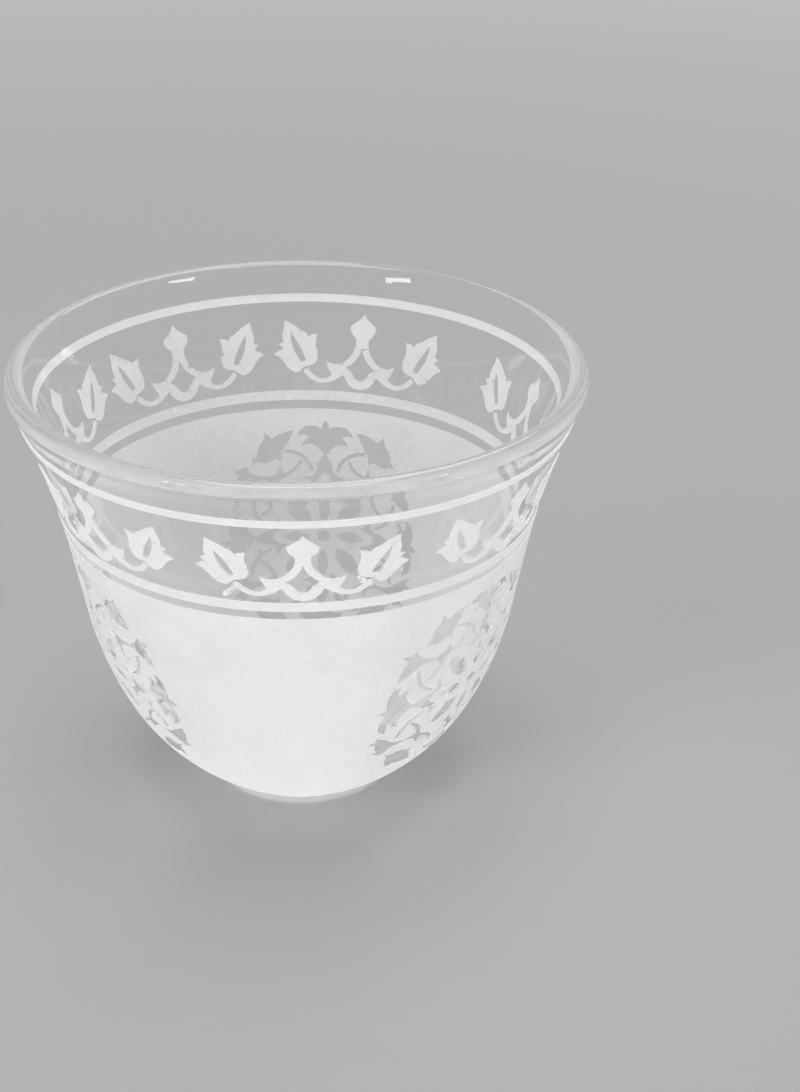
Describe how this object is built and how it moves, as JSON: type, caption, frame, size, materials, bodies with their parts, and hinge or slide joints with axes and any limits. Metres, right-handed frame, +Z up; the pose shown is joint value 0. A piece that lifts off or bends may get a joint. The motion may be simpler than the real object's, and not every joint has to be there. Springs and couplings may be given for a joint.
{
  "type": "arabic coffee cup",
  "caption": "Small clear glass coffee cup without a handle, flared at the lip and round in the bowl, with a frosted leaf frieze and frosted arabesque medallions.",
  "frame": {"origin": "centre of the flat base that the cup stands on", "axes": "+Z up along the cup's axis, -Y towards the front of the picture, +X to its right"},
  "size_m": [0.065, 0.065, 0.052],
  "materials": {
    "clear_glass": "clear, fire-polished at the lip",
    "frosted_glass": "frosted"
  },
  "bodies": {
    "root": {"glass_cup": "clear_glass", "upper_frost_line": "frosted_glass", "lower_frost_line": "frosted_glass", "frieze_spray_1": "frosted_glass", "frieze_spray_2": "frosted_glass", "frieze_spray_3": "frosted_glass", "frieze_spray_4": "frosted_glass", "frieze_spray_5": "frosted_glass", "frieze_spray_6": "frosted_glass", "frieze_spray_7": "frosted_glass", "frieze_leaf_left_1": "frosted_glass", "frieze_leaf_left_2": "frosted_glass", "frieze_leaf_left_3": "frosted_glass", "frieze_leaf_left_4": "frosted_glass", "frieze_leaf_left_5": "frosted_glass", "frieze_leaf_left_6": "frosted_glass", "frieze_leaf_left_7": "frosted_glass", "frieze_leaf_right_1": "frosted_glass", "frieze_leaf_right_2": "frosted_glass", "frieze_leaf_right_3": "frosted_glass", "frieze_leaf_right_4": "frosted_glass", "frieze_leaf_right_5": "frosted_glass", "frieze_leaf_right_6": "frosted_glass", "frieze_leaf_right_7": "frosted_glass", "frosted_field": "frosted_glass"}
  },
  "joints": []
}
